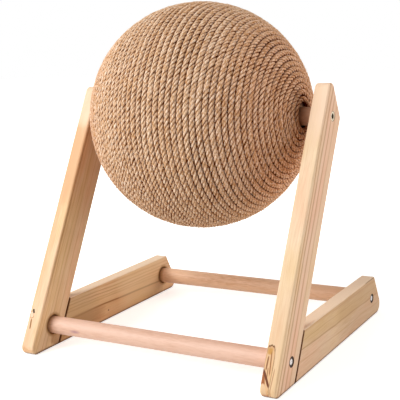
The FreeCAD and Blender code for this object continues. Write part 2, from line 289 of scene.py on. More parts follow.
# rings: mm of depth and colour; across and climb tilt them through and along the board
# flaws: middle, half sizes and tilt in the board, then colour and cover by the fourth power of the distance,
# where 1 is the half size, and the same measure where the last cover has faded
# dowels: line of the dowel and its screw, and radius of the mouth of the screw's hole
boards = {
    "left_upright": {
        "corner": (-innerFace, toe.y, 0.0), "lean": uprightLean, "across": -0.12, "climb": 0.004, "seed": 3.0,
        "rings": [(-2, "#EFD0AE"), (1.5, "#EDCDA8"), (2.2, "#E4BF94"), (6, "#F2D2AA"), (7, "#E2BC8E"),
                  (8, "#F0D0A8"), (13, "#F1D2AB"), (14, "#E1BE92"), (15.5, "#F0D1AB"), (18, "#EDCBA4"),
                  (19, "#DAB488"), (20.5, "#EBC89F"), (27, "#EFCEA8"), (28, "#DFBA90"), (29, "#F0D0AA"),
                  (38, "#E9C79F"), (40, "#D8B182"), (46, "#F0D0AA")],
        "flaws": [((-8, 0, 208), (10, 3, 46), 0, [(0.2, "#DCAE82D8")], 1.2),
                  ((-8, 0, 294), (10, 3, 42), 0, [(0.3, "#EFD8BCB0")], 1.2),
                  # painted shade along the inner face's front edge
                  ((0, 2.4, 190), (1.5, 0.7, 130), 0, [(0.6, "#A06A3080")], 1.4),
                  # painted shadow of the front crossbar on the inner face, under its socket
                  ((0, 32, 28), (3, 8, 9), 0, [(0.3, "#9C6840A0")], 1.2),
                  ((-11.8, 0, 43.6), (2.3, 3, 3.6), 15, [(0.4, "#F4CCACFF"), (0.7, "#B87C4CFF"),
                                                         (1.0, "#A86C3CE0")], 1.3),
                  ((-10.6, 0, 47.3), (1.1, 3, 2.4), 25, [(0.85, "#382400FF")], 1.35),
                  ((-10.6, 0, 34.0), (0.8, 3, 5.2), 6, [(0.7, "#8A5400F0")], 1.35),
                  # painted shade from the ball, high on the inner face
                  ((0, 20, 240), (3, 40, 90), 0, [(0.1, "#A8703C58")], 1.2)],
        "dowels": [(frontDowel, 5.0), (axleLine, 4.7)],
    },
    "right_upright": {
        "corner": (innerFace, toe.y, 0.0), "lean": uprightLean, "across": 0.16, "climb": 0.012, "seed": 11.0,
        "rings": [(-2, "#EFD5B4"), (5.0, "#EDD3B3"), (6.8, "#EACEAE"), (8.4, "#BE946A"), (10.2, "#E5C7A7"),
                  (12.4, "#EACCAE"), (14.2, "#C09672"), (16.4, "#E9CAAE"), (20, "#EDCDB4"), (22.4, "#CBA27E"),
                  (24.6, "#EBCBB0"), (29, "#E9C9AC"), (30.8, "#D4AE8A"), (32.6, "#EACCAF"), (46, "#E8C9AB")],
        "flaws": [((8, 0, 30), (9, 3, 70), 0, [(0.1, "#DAB48660")], 1.2),
                  ((7, 0, 295), (10, 3, 60), 0, [(0.1, "#FBDDC490")], 1.2),
                  # the knot at the foot, with its bark
                  ((4.9, 0, 26), (4.2, 9, 22.5), 0, [(0.4, "#DCB080B0"), (0.82, "#CE9C68C8"),
                                                     (0.92, "#6A3E04FF"), (1.04, "#6A3E04FF")], 1.2),
                  ((4.2, 0, 43.5), (2.6, 6, 3.2), 0, [(0.05, "#C08A30D8")], 1.2),
                  ((6.4, 0, 33), (0.6, 8, 10.0), 4, [(0.6, "#92581EE0")], 1.5),
                  ((3.2, 0, 33), (0.7, 8, 6.0), -2, [(0.6, "#7E4810E0")], 1.5),
                  ((5.0, 0, 24), (0.5, 8, 5.0), 2, [(0.6, "#92581EC0")], 1.5),
                  ((1.6, 0, 18), (2.2, 6, 9.0), 12, [(0.3, "#9C5A26F8")], 1.3),
                  ((4.5, 0, 20), (1.1, 8, 8.5), 27, [(0.5, "#663000FF")], 1.5),
                  ((3.0, 0, 8), (3.0, 6, 7.0), 12, [(0.6, "#E2C098FF")], 1.3),
                  ((5.0, 0, 3), (4.0, 6, 3.4), 0, [(0.3, "#C98860D0")], 1.3),
                  ((10.4, 0, 16), (0.5, 6, 13.0), -3, [(0.6, "#B07C58C0")], 1.4)],
        "dowels": [(frontDowel, 5.0), (axleLine, 4.7)],
    },
    "left_base_bar": {
        "corner": (-innerFace, barStart, barTop), "lean": 90.0, "across": -0.1, "climb": -0.026, "seed": 23.0,
        "rings": [(-2, "#E3BF95"), (0, "#CFA273"), (1.2, "#E3BF95"), (3.2, "#E2BE94"), (4.0, "#C59666"),
                  (5.0, "#E2BD93"), (6.6, "#E1BC92"), (7.4, "#BF9060"), (8.4, "#E1BB91"), (10, "#E0BA8F"),
                  (10.8, "#C69868"), (11.8, "#DFB88D"), (14, "#CDA172"), (15, "#DEB68A"), (19.8, "#DBB284"),
                  (20.8, "#98642F"), (21.8, "#A06A38"), (22.8, "#D6A979"), (30, "#DDB386"), (46, "#D4A477")],
        "flaws": [((0, 33.0, 111), (4, 0.8, 1.1), 0, [(0.7, "#7E4520F0")], 1.6),
                  ((0, 31, 45), (4, 10, 60), 0, [(0.1, "#A06A3AB0")], 1.2),
                  ((0, 12, 40), (4, 30, 55), 0, [(0.1, "#B0946C60")], 1.2),
                  ((0, 12, 190), (4, 30, 60), 0, [(0.1, "#F2D2A860")], 1.2),
                  ((-7.7, 0, 120), (12, 0.7, 220), 0, [(0.8, "#F5D9BAFF")], 1.2)],
        "dowels": [(rearDowel, 5.0)],
    },
    "right_base_bar": {
        "corner": (innerFace, barStart, barTop), "lean": 90.0, "across": 0.1, "climb": -0.02, "seed": 37.0,
        "rings": [(-2, "#DDC09B"), (1.5, "#CDA880"), (2.6, "#D8BA93"), (8, "#DABC95"), (8.7, "#CBA67D"),
                  (9.4, "#DABC95"), (16.2, "#D8B992"), (17.4, "#B99066"), (18.4, "#E2C6A7"), (27, "#E4C8AA"),
                  (28, "#D5B28F"), (29, "#E4C8AA"), (46, "#E2C5A5")],
        "flaws": [((15.5, 16, 215), (8, 40, 90), 0, [(0.1, "#B08A6270")], 1.2),
                  ((7.7, 0, 120), (12, 0.7, 220), 0, [(0.8, "#F6DABCFF")], 1.2),
                  ((12.5, 0, 62), (1.2, 2, 14), 0, [(0.3, "#E8B99860")], 1.3),
                  ((15.3, 0.3, 232), (0.7, 0.9, 24), 0, [(0.6, "#7A5A3AB0")], 1.4)],
        "dowels": [(rearDowel, 5.0)],
    },
}
for boardName, board in boards.items():
    material, tree, shader = newMaterial("bare_pine_" + boardName)
    place = addNode(tree, "TexCoord")
    # board coordinates: x through its thickness, y from its front or top face, z along it
    local = addNode(tree, "Mapping",
                    {"Vector": place.outputs["Object"], "Location": Vector(board["corner"]) * mm,
                     "Rotation": (-math.radians(board["lean"]), 0, 0)}, vector_type="TEXTURE")
    longWay = addNode(tree, "Mapping",
                      {"Vector": local, "Location": (0, 0, board["seed"]),
                       "Scale": (1, 1, pine["waverLength"] / pine["waverWidth"])}, vector_type="TEXTURE")
    waver = addNode(tree, "TexNoise",
                    {"Vector": longWay, "Scale": 1 / (pine["waverWidth"] * mm), "Detail": 2.0})
    depth = addNode(tree, "VectorMath", {0: local, 1: (board["across"], 1, board["climb"])},
                    operation="DOT_PRODUCT")
    wavered = addNode(tree, "Math", {0: waver, 1: 2 * pine["waver"] * mm, 2: depth.outputs["Value"]},
                      operation="MULTIPLY_ADD")
    low, high = pine["ringDepth"]
    ringPlace = addNode(tree, "MapRange",
                        {0: wavered, 1: (low + pine["waver"]) * mm, 2: (high + pine["waver"]) * mm})
    rings = addNode(tree, "ValToRGB", {0: ringPlace},
                    [((ring - low) / (high - low), code) for ring, code in board["rings"]])
    fibreWay = addNode(tree, "Mapping",
                       {"Vector": local, "Location": (0, 0, board["seed"]),
                        "Scale": (1, 1, pine["streakLength"] / pine["streakWidth"])}, vector_type="TEXTURE")
    streaks = addNode(tree, "TexNoise",
                      {"Vector": fibreWay, "Scale": 1 / (pine["streakWidth"] * mm), "Detail": 3.0,
                       "Roughness": 0.65})
    streakTone = addNode(tree, "ValToRGB", {0: streaks}, pine["streakTones"])
    streaked = addNode(tree, "Mix", {0: pine["streakShare"], 6: rings, 7: streakTone}, data_type="RGBA",
                       blend_type="MULTIPLY")
    clouds = addNode(tree, "TexNoise",
                     {"Vector": longWay, "Scale": pine["cloudScale"] / (pine["waverWidth"] * mm),
                      "Detail": 3.0})
    cloudTone = addNode(tree, "ValToRGB", {0: clouds}, pine["cloudTones"])
    colour = addNode(tree, "Mix", {0: pine["cloudShare"], 6: streaked.outputs[2], 7: cloudTone},
                     data_type="RGBA", blend_type="MULTIPLY").outputs[2]
    # knots, bark, stains, specks and painted shade: a rounded box round each one's middle, frayed by the
    # streaks
    for middle, halfSize, tilt, cover, end in board["flaws"]:
        inFlaw = addNode(tree, "Mapping",
                         {"Vector": local, "Location": Vector(middle) * mm,
                          "Rotation": (0, math.radians(-tilt), 0), "Scale": Vector(halfSize) * mm},
                         vector_type="TEXTURE")
        squared = addNode(tree, "VectorMath", {0: inFlaw, 1: inFlaw}, operation="MULTIPLY")
        away = addNode(tree, "VectorMath", {0: squared, 1: squared}, operation="DOT_PRODUCT")
        ragged = addNode(tree, "Math", {0: streaks, 1: away.outputs["Value"]}, operation="ADD")
        colour = paintOver(tree, colour, ragged, cover, end, pine["flawReach"], pine["streakMean"])
    # painted shade round each dowel, the browned rim of its socket, and painted shade in the open ring round
    # each screw's head
    thick = addNode(tree, "SeparateXYZ", {0: local})
    inward = addNode(tree, "Math", {0: thick}, operation="ABSOLUTE")
    start, end = metres(pine["socketDepth"])
    nearInner = addNode(tree, "MapRange", {0: inward, 1: start, 2: end, 3: 1.0, 4: 0.0})
    start, end = metres(pine["mouthDepth"])
    nearOuter = addNode(tree, "MapRange", {0: inward, 1: start, 2: end})
    holes = [(line, pine["shadeRing"], nearInner, pine["socketShade"]) for line, size in board["dowels"]]
    holes += [(line, pine["holeRing"], nearInner, pine["hole"]) for line, size in board["dowels"]]
    for line, size in board["dowels"]:
        holes.append((line, (size, size + pine["mouthEdge"]), nearOuter, pine["mouth"]))
    for line, ring, mask, code in holes:
        start, end = metres(ring)
        inHole = addNode(tree, "MapRange",
                         {0: distanceFromLine(tree, place, line), 1: start, 2: end, 3: 1.0, 4: 0.0})
        masked = addNode(tree, "Math", {0: inHole, 1: mask}, operation="MULTIPLY")
        colour = addNode(tree, "Mix", {0: masked, 6: colour, 7: hexColour(code)}, data_type="RGBA").outputs[2]
    # glue and dust in the open line of the butt joint
    fromToe = addNode(tree, "VectorMath", {0: place.outputs["Object"], 1: toe * mm}, operation="SUBTRACT")
    behind = addNode(tree, "VectorMath", {0: fromToe, 1: depthWay}, operation="DOT_PRODUCT")
    height = addNode(tree, "SeparateXYZ", {0: place.outputs["Object"]})
    if "base" in boardName:
        start, end = metres(uprightDepth + back for back in pine["jointOnBar"])
        joint = addNode(tree, "MapRange",
                        {0: behind.outputs["Value"], 1: start, 2: end, 3: 1.0, 4: 0.0}).outputs[0]
    else:
        start, end = metres(pine["jointTop"])
        under = addNode(tree, "MapRange", {0: height.outputs[2], 1: start, 2: end, 3: 1.0, 4: 0.0})
        start, end = metres(uprightDepth + back for back in pine["jointOnUpright"])
        edge = addNode(tree, "MapRange", {0: behind.outputs["Value"], 1: start, 2: end})
        joint = addNode(tree, "Math", {0: under, 1: edge}, operation="MULTIPLY").outputs[0]
    colour = addNode(tree, "Mix", {0: joint, 6: colour, 7: hexColour(pine["jointLine"])},
                     data_type="RGBA").outputs[2]
    # painted contact shade along the lowest edge of each board
    start, end = metres(pine["floorLineHeight"])
    lowest = addNode(tree, "MapRange",
                     {0: height.outputs[2], 1: start, 2: end, 3: pine["floorLineCover"], 4: 0.0})
    colour = addNode(tree, "Mix", {0: lowest, 6: colour, 7: hexColour(pine["floorLine"])},
                     data_type="RGBA").outputs[2]
    tree.links.new(colour, shader.inputs["Base Color"])
    bump = addNode(tree, "Bump",
                   {"Height": streaks, "Strength": pine["relief"], "Distance": pine["reliefDepth"] * mm})
    tree.links.new(bump.outputs[0], shader.inputs["Normal"])
    setFinish(shader, pine)
    dress([boardName], material)
print("pine boards dressed")


# beech dowel, turned and sanded: pinkish and even, with the short dark ray flecks of beech along the rod
beech = {
    "fleckWidth": 1.2,      # mm, real flecks are about 0.3 mm and would not show
    "fleckLength": 9.0,     # mm
    "cloud": 14.0,          # mm
    "tones": (0.2, 0.55),   # where the pale wood ends and where a fleck is full
    "markReach": 1.2,       # half sizes from a mark's middle, as far as its cover is given
    "entry": (5, 30, 30),   # mm, half sizes of the painted shade where a crossbar enters a board
    "entryShade": ([(0.2, "#A87448F0")], 1.1),
    "relief": 0.2,
    "reliefDepth": 0.2,     # mm
    "roughness": 0.5,
    "ior": 1.5,
    "gloss": 0.4,
}
# each rod's own pink, and what has marked it: middle, half sizes, then colour and cover by distance, where 1
# is the half size, and the distance where the last cover has faded
rods = {
    "front_crossbar": {
        "pale": "#E4BEA9", "fleck": "#CFA186", "line": frontDowel,
        "marks": [((-93, -110.5, 22.5), (7.0, 4, 2.2), [(0.15, "#A87E86E8")], 1.1)],
    },
    "rear_crossbar": {
        "pale": "#E6BB99", "fleck": "#C8946C", "line": rearDowel,
        "marks": [((60, 104, 27), (14, 6, 3), [(0.1, "#C98F6290")], 1.1)],
    },
    # painted shade on the axle at both ends of the ball, where the ball shades it
    "axle": {
        "pale": "#D8A884", "fleck": "#B47E58",
        "marks": [((x, *axleLine), (13, 30, 30), [(0.25, "#8A5636F0")], 1.2)
                  for x in (-114, 114)],
    },
    "pins": {"pale": "#F0C8AE", "fleck": "#D9A684", "marks": []},
}
pins = [side + "_" + row + "_pin" for side in ("left", "right") for row in ("upper", "lower")]
for rodName, rod in rods.items():
    material, tree, shader = newMaterial("turned_beech_" + rodName)
    place = addNode(tree, "TexCoord")
    along = addNode(tree, "Mapping",
                    {"Vector": place.outputs["Object"],
                     "Scale": (beech["fleckLength"] / beech["fleckWidth"], 1, 1)}, vector_type="TEXTURE")
    flecks = addNode(tree, "TexNoise",
                     {"Vector": along, "Scale": 1 / (beech["fleckWidth"] * mm), "Detail": 2.0})
    cloud = addNode(tree, "TexNoise", {"Vector": along, "Scale": 1 / (beech["cloud"] * mm), "Detail": 1.0})
    mixed = addNode(tree, "Math", {0: flecks, 1: cloud}, operation="MULTIPLY")
    colour = addNode(tree, "ValToRGB", {0: mixed},
                     list(zip(beech["tones"], (rod["pale"], rod["fleck"])))).outputs[0]
    marks = list(rod["marks"])
    if "crossbar" in rodName:
        marks += [((x, *rod["line"]), beech["entry"], *beech["entryShade"]) for x in (-innerFace, innerFace)]
    for middle, halfSize, cover, end in marks:
        inMark = addNode(tree, "Mapping",
                         {"Vector": place.outputs["Object"], "Location": Vector(middle) * mm,
                          "Scale": Vector(halfSize) * mm}, vector_type="TEXTURE")
        away = addNode(tree, "VectorMath", {0: inMark}, operation="LENGTH")
        colour = paintOver(tree, colour, away.outputs["Value"], cover, end, beech["markReach"])
    tree.links.new(colour, shader.inputs["Base Color"])
    bump = addNode(tree, "Bump",
                   {"Height": mixed, "Strength": beech["relief"], "Distance": beech["reliefDepth"] * mm})
    tree.links.new(bump.outputs[0], shader.inputs["Normal"])
    setFinish(shader, beech)
    dress(pins if rodName == "pins" else [rodName], material)
print("beech dowels dressed")


# zinc plated and passivated steel screws: a pale, slightly cloudy satin face, with painted shade, dull and no
# metal as dirt would be, down in the cross recess and round the edge of the countersunk heads
steel = {
    # colour of the painted shade in the recesses and round the heads
    "dirtAndShade": "#2C1600",
    "cloud": 1.5,           # mm
    "clouds": (0.35, 0.6),  # where they are dull and where bright
    "roughness": 0.42,
    "dirtAndShadeRoughness": 0.95,
    "gloss": 0.2,
    "metallic": 0.3,        # the passivated coat is mostly a film of pale salts
}
# painted shade and dirt: mm from the screw's axis, and how much of it lies there; tones: dull and bright
# the axle's screws are yellow passivated
screwKinds = {
    "front_screw": {"line": frontDowel, "dirtAndShade": ((2.3, 0.0), (3.0, 1.0)), "tones": ("#F2EEF0", "#FFFFFF")},
    "rear_screw": {"line": rearDowel, "dirtAndShade": ((2.3, 0.0), (3.0, 1.0)), "tones": ("#F2EEF0", "#FFFFFF")},
    "axle_screw": {"line": axleLine, "dirtAndShade": ((1.9, 1.0), (3.3, 0.0)), "tones": ("#CDBFA2", "#E6DCC4")},
}
for kind, screw in screwKinds.items():
    steelMaterial, tree, shader = newMaterial("zinc_plated_steel_" + kind)
    place = addNode(tree, "TexCoord")
    cloud = addNode(tree, "TexNoise",
                    {"Vector": place.outputs["Object"], "Scale": 1 / (steel["cloud"] * mm), "Detail": 3.0})
    tone = addNode(tree, "ValToRGB", {0: cloud}, list(zip(steel["clouds"], screw["tones"])))
    (near, nearDirtAndShade), (far, farDirtAndShade) = screw["dirtAndShade"]
    dirtAndShadeCover = addNode(tree, "MapRange",
                    {0: distanceFromLine(tree, place, screw["line"]), 1: near * mm, 2: far * mm, 3: nearDirtAndShade,
                     4: farDirtAndShade})
    colour = addNode(tree, "Mix", {0: dirtAndShadeCover, 6: tone, 7: hexColour(steel["dirtAndShade"])}, data_type="RGBA")
    tree.links.new(colour.outputs[2], shader.inputs["Base Color"])
    # the painted shade is dull and no metal, as dirt would be
    bare = addNode(tree, "MapRange", {0: dirtAndShadeCover, 3: steel["metallic"], 4: 0.0})
    tree.links.new(bare.outputs[0], shader.inputs["Metallic"])
    dull = addNode(tree, "MapRange", {0: dirtAndShadeCover, 3: steel["roughness"], 4: steel["dirtAndShadeRoughness"]})
    tree.links.new(dull.outputs[0], shader.inputs["Roughness"])
    shader.inputs["Specular IOR Level"].default_value = steel["gloss"]
    dress(["left_" + kind, "right_" + kind], steelMaterial)

# polypropylene shell, moulded, brown: a dull fine grained plastic seen only at the poles; its dark brown is
# painted shade for the hole round the axle and the gaps between turns
shell = {
    "tones": [(0.35, "#5A3014"), (0.7, "#6A3C1C")],
    "grain": 1.2,           # mm
    "relief": 0.3,
    "reliefDepth": 0.2,     # mm
    "roughness": 0.7,
    "ior": 1.49,
    "gloss": 0.5,
}
shellMaterial, tree, shader = newMaterial("moulded_polypropylene")
place = addNode(tree, "TexCoord")
grain = addNode(tree, "TexNoise",
                {"Vector": place.outputs["Object"], "Scale": 1 / (shell["grain"] * mm), "Detail": 2.0})
tone = addNode(tree, "ValToRGB", {0: grain}, shell["tones"])
tree.links.new(tone.outputs[0], shader.inputs["Base Color"])
bump = addNode(tree, "Bump",
               {"Height": grain, "Strength": shell["relief"], "Distance": shell["reliefDepth"] * mm})
tree.links.new(bump.outputs[0], shader.inputs["Normal"])
setFinish(shader, shell)
dress(["ball_left_shell", "ball_right_shell"], shellMaterial)

# kraft cardboard, wound: brown paper with a spiral of ply edges round the tube
card = {
    "tones": [(0.05, "#6E5238"), (0.2, "#8A6A4A")],     # ply edge and paper
    "plyWidth": 25.0,       # mm
    "uneven": 0.6,
    "roughness": 0.85,
    "ior": 1.45,
    "gloss": 0.5,
}
bandsPerMetre = 20 / tau    # of the wave texture at a scale of 1
cardMaterial, tree, shader = newMaterial("wound_cardboard")
place = addNode(tree, "TexCoord")
plies = addNode(tree, "TexWave",
                {"Vector": place.outputs["Object"], "Scale": 1 / bandsPerMetre / (card["plyWidth"] * mm),
                 "Distortion": card["uneven"]}, wave_type="BANDS", bands_direction="DIAGONAL")
tone = addNode(tree, "ValToRGB", {0: plies.outputs[1]}, card["tones"])
tree.links.new(tone.outputs[0], shader.inputs["Base Color"])
setFinish(shader, card)
dress(["bore_tube"], cardMaterial)
print("screws, shells and tube dressed")


# the wound rope, four strands laid right handed, pole to pole round the ball, one turn closer to the axle
# than the shells' own seat and with its ends tucked in along the bore; it is wound tight, and neighbouring
# turns press into each other
rope = {
    "turns": 54,
    # first and last turn of each length
    "pieces": {"rope_left": (-1, 18), "rope_middle": (18, 36), "rope_right": (36, 55)},
    "seat": 112.2,              # mm, from the ball's centre to the rope's middle
    "poleRadius": 17.65,        # mm, from the axle's middle to the first of these turns
    "endDraw": 1.0,             # mm that the first and last turn draw in
    "innerStep": 0.9,           # share of a turn's step that the turn next to the axle takes
    "tuckBend": 6.5,            # mm
    "tuckRun": 4.0,             # mm
    "lay": 20.6,                # mm of rope for one full turn of a strand
    "strands": 4,
    "strandSeat": 1.85,         # mm, from the rope's middle to the strand's
    "strandHeight": 1.3,        # mm, half of it
    "strandWidth": 1.34,
    "sides": 10,
    "step": 1.3,                # mm between the rings of points
    "trace": 720,               # points in each turn from which the length is measured
    "sway": 0.55,               # mm that the turns wander together from their places
    "swayWaves": 14,
    "swayAlong": 0.6,           # radians in each turn, at most
    "swayRound": 5,             # waves round the ball, at most
    "swaySeed": 5,
    "swayStart": 0.3,           # turns from a pole over which the wander grows
    # amount, mm of rope for each swing, and seed
    "rise": (0.3, 55, 6),           # share of the sway that goes in and out
    "thickness": (0.04, 70, 7),     # share by which the rope's thickness varies
    "layDrift": (0.9, 80, 8),       # radians that the lay runs ahead or behind
    "layRipple": (0.4, 17, 9),      # radians, on short stretches
    "plump": (0.1, 7, 20),          # share by which a strand's thickness varies
    "strandDrift": (0.18, 13, 40),  # radians that a strand strays from its quarter of the rope
}
ballCentre = np.array(frame["joints"][0]["pos_m"])


# a smooth random run between the amount and its negative, with about one swing in each spacing
def drift(along, amount, spacing, seed):
    knots = np.random.default_rng(seed).uniform(-1, 1, int(along[-1] / spacing) + 3)
    place = along / spacing
    low = place.astype(int)
    ease = (1 - np.cos((place - low) * math.pi)) / 2
    return amount * (knots[low] * (1 - ease) + knots[low + 1] * ease)


# the rope's middle at a number of turns from the left pole, in mm from the ball's centre
def woundPoint(turn):
    turns = rope["turns"]
    drawAngle = rope["endDraw"] / rope["seat"]
    firstPolar = math.asin(rope["poleRadius"] / rope["seat"]) + drawAngle
    turnStep = (math.pi - 2 * firstPolar) / turns
    inFirst = np.clip(1 - turn, 0, 1)
    inLast = np.clip(turn - turns + 1, 0, 1)
    beyond = np.maximum(turn - turns, 0) - np.maximum(-turn, 0)
    steps = np.clip(turn, 0, turns) + rope["innerStep"] * beyond
    polar = firstPolar + turnStep * steps + drawAngle * (inLast ** 2 - inFirst ** 2)
    around = tau * turn
    directions = [-np.cos(polar), np.sin(polar) * np.cos(around), np.sin(polar) * np.sin(around)]
    return rope["seat"] * np.stack(directions, 1)


def unit(rows):
    return rows / np.linalg.norm(rows, axis=1, keepdims=True)


def lengthAlong(points):
    return np.concatenate([[0], np.cumsum(np.linalg.norm(np.diff(points, axis=0), axis=1))])


# points, outward, sideways and forward directions, and the turn count, all along the rope from tuck to tuck
def windRope():
    first, last = rope["pieces"]["rope_left"][0], rope["pieces"]["rope_right"][1]
    fine = np.linspace(first, last, (last - first) * rope["trace"] + 1)
    length = lengthAlong(woundPoint(fine))
    count = int(length[-1] / rope["step"])
    turn = np.interp(np.linspace(0, length[-1], count + 1), length, fine)
    middle = woundPoint(turn)
    little = 1e-4       # of a turn
    forward = unit(woundPoint(turn + little) - woundPoint(turn - little))
    outward = unit(middle)
    outward = unit(outward - forward * np.sum(outward * forward, axis=1, keepdims=True))
    parts = [(middle, outward, forward, turn)]
    bend, run = rope["tuckBend"], rope["tuckRun"]
    for end, way in ((0, -1), (-1, 1)):
        angle = np.linspace(0, math.pi / 2, int(bend * math.pi / 2 / rope["step"]) + 2)[1:, None]
        deep = np.linspace(0, run, int(run / rope["step"]) + 2)[1:, None]
        endOn = forward[end]
        endOut = unit(np.array([[way, 0, 0]]) - endOn * (way * endOn[0]))[0]
        hub = middle[end] - bend * endOut
        arcOut = np.cos(angle) * endOut + way * np.sin(angle) * endOn
        arcOn = np.cos(angle) * endOn - way * np.sin(angle) * endOut
        arcPoints = hub + bend * arcOut
        points = np.concatenate([arcPoints, arcPoints[-1] - deep * endOut])
        outs = np.concatenate([arcOut, np.repeat(arcOut[-1:], len(deep), 0)])
        ons = np.concatenate([arcOn, np.repeat(arcOn[-1:], len(deep), 0)])
        turns = np.full(len(points), turn[end])
        if way < 0:
            parts.insert(0, (points[::-1], outs[::-1], ons[::-1], turns))
        else:
            parts.append((points, outs, ons, turns))
    middle, outward, forward, turn = (np.concatenate(group) for group in zip(*parts))
    return middle, outward, np.cross(forward, outward), forward, turn


# the quads of a tube's wall, from the number of each ring's first point
def wallQuads(start, sides):
    this = np.arange(sides)
    after = (this + 1) % sides
    corners = [start + this, start + after, start + sides + after, start + sides + this]
    return np.stack(corners, -1).reshape(-1, 4)


# a closed tube through rings of points
def tubeMesh(name, rings):
    count, sides = rings.shape[:2]
    mesh = bpy.data.meshes.new(name)
    mesh.vertices.add(count * sides)
    mesh.vertices.foreach_set("co", rings.astype(np.float32).ravel())
    quads = wallQuads(np.arange(count - 1)[:, None] * sides, sides).ravel()
    caps = np.concatenate([np.arange(sides)[::-1], (count - 1) * sides + np.arange(sides)])
    faces = (count - 1) * sides
    starts = np.concatenate([np.arange(faces) * 4, faces * 4 + np.array([0, sides])])
    mesh.loops.add(faces * 4 + 2 * sides)
    mesh.loops.foreach_set("vertex_index", np.concatenate([quads, caps]).astype(np.int32))
    mesh.polygons.add(faces + 2)
    mesh.polygons.foreach_set("loop_start", starts.astype(np.int32))
    mesh.polygons.foreach_set("use_smooth", np.concatenate([np.ones(faces, bool), np.zeros(2, bool)]))
    mesh.update(calc_edges=True)
    mesh.validate()
    return mesh


# jute, twisted from retted bast fibre: dull tan with pale flecks on the crowns of the strands, with painted
# shade brown in the grooves between strands and dark where two turns meet, and loose fibre running along the
# rope
jute = {
    "fleck": "#FFEFDE",
    "pale": "#F0D2B4",
    "brown": "#CC9C6E",
    "groove": "#96561C",
    "deep": "#7E3800",
    "mottle": (0.65, 1.3),      # range of the mixed patterns that the tones spread over
    "tones": (0.3, 0.62, 1.0),  # where brown, pale and fleck lie in it
    # mm from the axle's middle and tint: painted shade brown next to the axle, then warmer near the poles
    "poleTones": [(10, "#8E643E"), (19, "#FFF0E9"), (68, "#FFF0E9"), (104, "#FFFFFF")],
    "fibreWidth": 0.8,          # mm, real fibres are about 0.1 mm and would not show
    "fibreLength": 4.5,         # mm
    "knop": 1.7,                # mm across the small lumps of loose fibre
    "knopShare": 0.75,
    "patchLength": 160.0,       # mm of rope between paler and darker stretches
    "patchWidth": 6.0,          # mm
    "patchShare": 0.2,
    "yarns": 4,
    "yarnLay": 12.0,            # mm of strand for one turn of its yarns
    "yarnShare": 0.05,
    "yarnRelief": 0.2,
    "crown": (1.95, 2.8),       # mm from the rope's middle, a groove between strands and a strand's crown
    "meeting": (0.4, 2.2),      # mm over the rope's middle, where two turns meet and where the painted shade ends
    "relief": 0.8,
    "reliefDepth": 0.5,         # mm
    "roughness": 0.85,
    "ior": 1.45,
    "gloss": 0.0,               # the loose fibre scatters all of it
}
juteMaterial, tree, shader = newMaterial("laid_jute")
laid = addNode(tree, "Attribute", attribute_name="ropeLay")
strandTurn = addNode(tree, "Attribute", attribute_name="strandTurn")
fibreWay = addNode(tree, "Mapping",
                   {"Vector": laid.outputs["Vector"],
                    "Scale": (jute["fibreLength"] / jute["fibreWidth"], 1, 1)}, vector_type="TEXTURE")
fibres = addNode(tree, "TexNoise",
                 {"Vector": fibreWay, "Scale": 1 / (jute["fibreWidth"] * mm), "Detail": 2.0,
                  "Roughness": 0.6})
knops = addNode(tree, "TexNoise",
                {"Vector": laid.outputs["Vector"], "Scale": 1 / (jute["knop"] * mm), "Detail": 2.0,
                 "Roughness": 0.55})
patchSize = metres((jute["patchLength"], jute["patchWidth"], jute["patchWidth"]))
patchWay = addNode(tree, "Mapping", {"Vector": laid.outputs["Vector"], "Scale": patchSize},
                   vector_type="TEXTURE")
patches = addNode(tree, "TexNoise", {"Vector": patchWay, "Scale": 1.0, "Detail": 2.0})
turned = addNode(tree, "SeparateXYZ", {0: strandTurn.outputs["Vector"]})
angle = addNode(tree, "Math", {0: turned.outputs[1], 1: turned}, operation="ARCTAN2")
yarnTurn = addNode(tree, "Math", {0: turned.outputs[2], 1: tau / (jute["yarnLay"] * mm), 2: angle},
                   operation="MULTIPLY_ADD")
yarnPhase = addNode(tree, "Math", {0: yarnTurn, 1: jute["yarns"]}, operation="MULTIPLY")
yarnWave = addNode(tree, "Math", {0: yarnPhase}, operation="SINE")
mottle = addNode(tree, "Math", {0: knops, 1: jute["knopShare"], 2: fibres}, operation="MULTIPLY_ADD")
uneven = addNode(tree, "Math", {0: patches, 1: jute["patchShare"], 2: mottle}, operation="MULTIPLY_ADD")
yarned = addNode(tree, "Math", {0: yarnWave, 1: jute["yarnShare"], 2: uneven}, operation="MULTIPLY_ADD")
darkest, palest = jute["mottle"]
spread = addNode(tree, "MapRange", {0: yarned, 1: darkest, 2: palest})
body = addNode(tree, "ValToRGB", {0: spread},
               list(zip(jute["tones"], (jute["brown"], jute["pale"], jute["fleck"]))))
# distance from the rope's middle tells the grooves between strands, which get painted shade, from their
# crowns
flat = addNode(tree, "VectorMath", {0: laid.outputs["Vector"], 1: (0, 1, 1)}, operation="MULTIPLY")
radius = addNode(tree, "VectorMath", {0: flat}, operation="LENGTH")
start, end = metres(jute["crown"])
crown = addNode(tree, "MapRange", {0: radius.outputs["Value"], 1: start, 2: end},
                interpolation_type="SMOOTHSTEP")
strandTone = addNode(tree, "Mix", {0: crown, 6: hexColour(jute["groove"]), 7: body}, data_type="RGBA")
